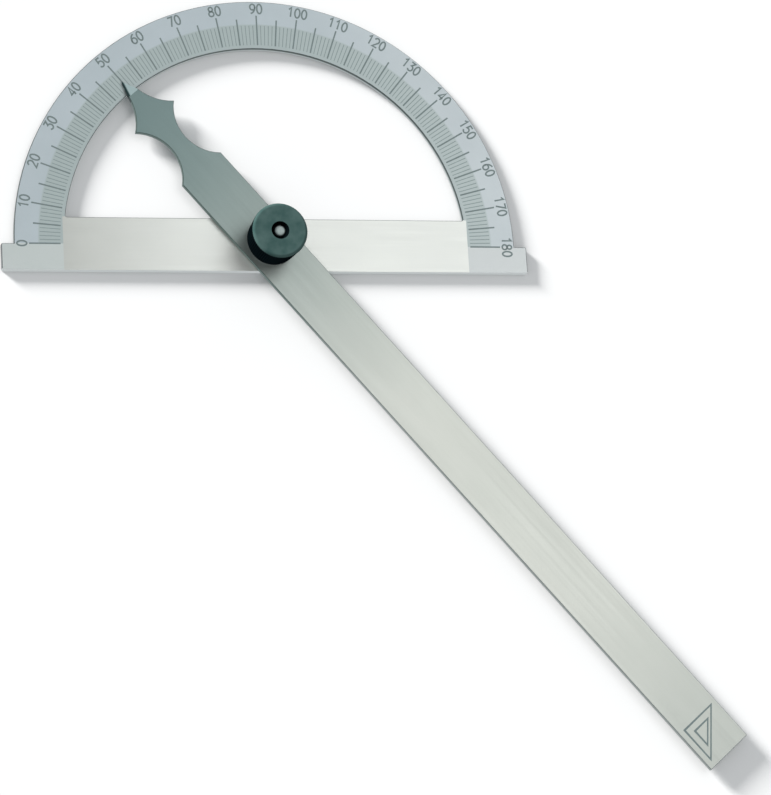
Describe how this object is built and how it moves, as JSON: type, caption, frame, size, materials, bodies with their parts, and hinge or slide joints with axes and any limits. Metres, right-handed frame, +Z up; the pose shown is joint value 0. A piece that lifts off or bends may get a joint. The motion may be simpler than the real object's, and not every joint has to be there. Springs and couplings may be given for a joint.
{
  "type": "arm protractor",
  "caption": "Flat steel protractor with a half-circle degree scale on a straight base bar and a long pointer arm clamped by a knob at the centre.",
  "frame": {"origin": "on the pivot axis, at the flat underside of the scale plate", "axes": "+X along the base bar from the scale's 0 to its 180, +Y towards the top of the arc, +Z up out of the scale's face"},
  "size_m": [0.2142, 0.233, 0.0186],
  "materials": {
    "scale_steel": "satin chrome with etched scale",
    "arm_steel": "brushed lengthwise",
    "stud_steel": "turned, bright",
    "washer_steel": "zinc plated",
    "washer_brass": "satin",
    "insert_brass": "turned",
    "knob_plastic": "moulded, fluted side"
  },
  "bodies": {
    "scale": {"scale_plate": "scale_steel", "pivot_stud": "stud_steel", "friction_washer": "washer_brass"},
    "arm": {"arm": "arm_steel", "spring_washer": "washer_steel"},
    "clamp": {"clamp_washer": "washer_steel"},
    "knob": {"knob_body": "knob_plastic", "knob_insert": "insert_brass"}
  },
  "joints": [
    {"name": "arm_swing", "type": "hinge", "parent": "scale", "child": "arm", "pos_m": [0, 0, 0], "axis": [0, 0, 1], "continuous": true},
    {"name": "knob_lift", "type": "slide", "parent": "scale", "child": "clamp", "axis": [0, 0, 1], "range_m": [0, 0.0014]},
    {"name": "knob_turn", "type": "hinge", "parent": "clamp", "child": "knob", "pos_m": [0, 0, 0], "axis": [0, 0, 1], "range_deg": [0, 720]}
  ],
  "couplings": [
    {"joint": "knob_lift", "follows": "knob_turn", "m_per_rad": 0.00011141}
  ]
}
